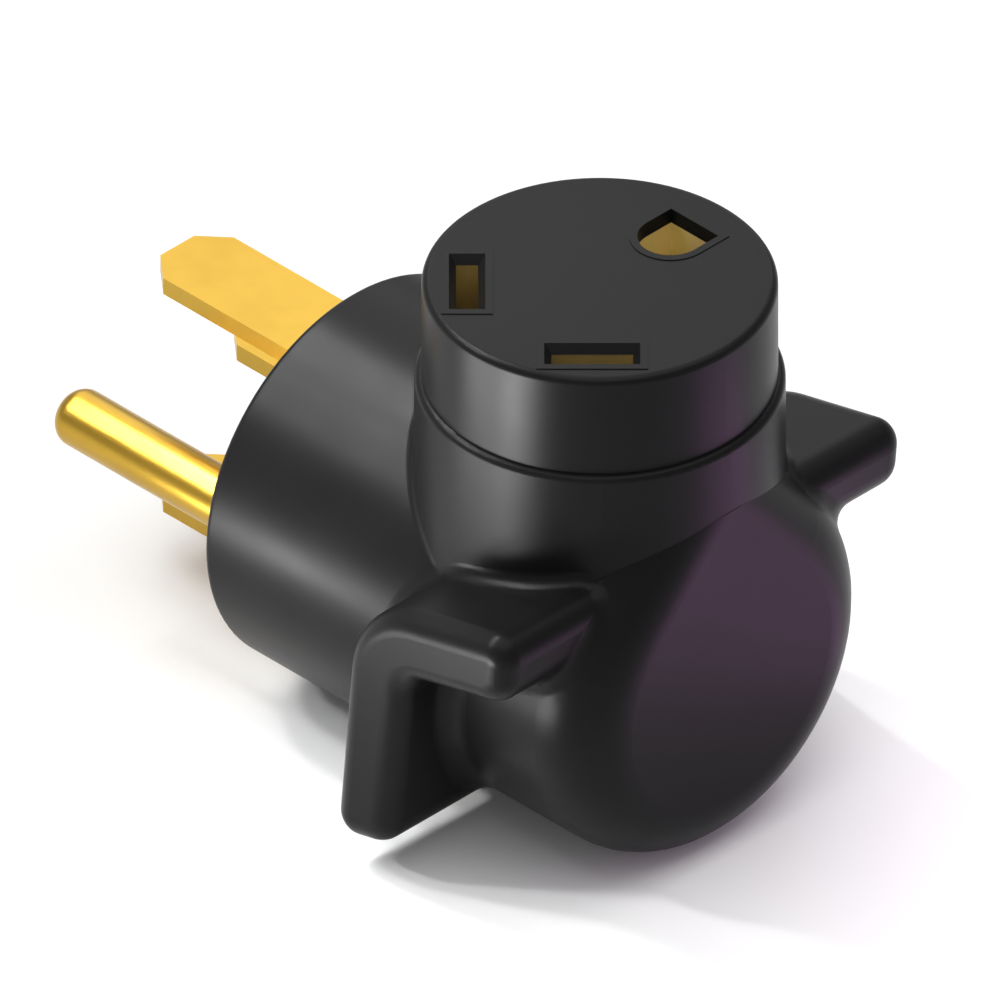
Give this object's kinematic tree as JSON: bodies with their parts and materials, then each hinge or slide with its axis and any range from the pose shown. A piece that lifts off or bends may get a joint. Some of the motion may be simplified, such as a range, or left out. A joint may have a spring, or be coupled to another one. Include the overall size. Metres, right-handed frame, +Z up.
{
  "type": "rv power adapter",
  "caption": "Compact right-angle RV power adapter: a 50 A four-prong plug turned to a 30 A travel-trailer socket, black moulded body with grip wings.",
  "frame": {"origin": "centre of the plug's mating face, on the barrel's axis", "axes": "+X from the plug's mating face into the body, towards the nose; +Z up along the socket's axis"},
  "size_m": [0.1012, 0.0718, 0.0773],
  "materials": {
    "black_body": "satin moulded, fine grain",
    "black_insert": "satin moulded",
    "inner_plastic": "plain moulded",
    "brass": "smooth, lightly polished",
    "contact_brass": "smooth, unpolished",
    "copper": "bright copper",
    "black_insulation": "smooth",
    "white_insulation": "smooth",
    "green_insulation": "smooth",
    "steel": "zinc plated"
  },
  "bodies": {
    "root": {"outer_jacket": "black_body", "socket_face": "black_insert", "prong_carrier": "black_insert", "prong_clamp": "inner_plastic", "contact_base": "inner_plastic", "clamp_screws": "steel", "base_screws": "steel", "hot_blade_x": "brass", "hot_blade_y": "brass", "neutral_blade": "brass", "ground_pin": "brass", "hot_contact": "contact_brass", "neutral_contact": "contact_brass", "ground_contact": "contact_brass", "hot_lead": "black_insulation", "neutral_lead": "white_insulation", "ground_lead": "green_insulation", "hot_core": "copper", "neutral_core": "copper", "ground_core": "copper"}
  },
  "joints": []
}
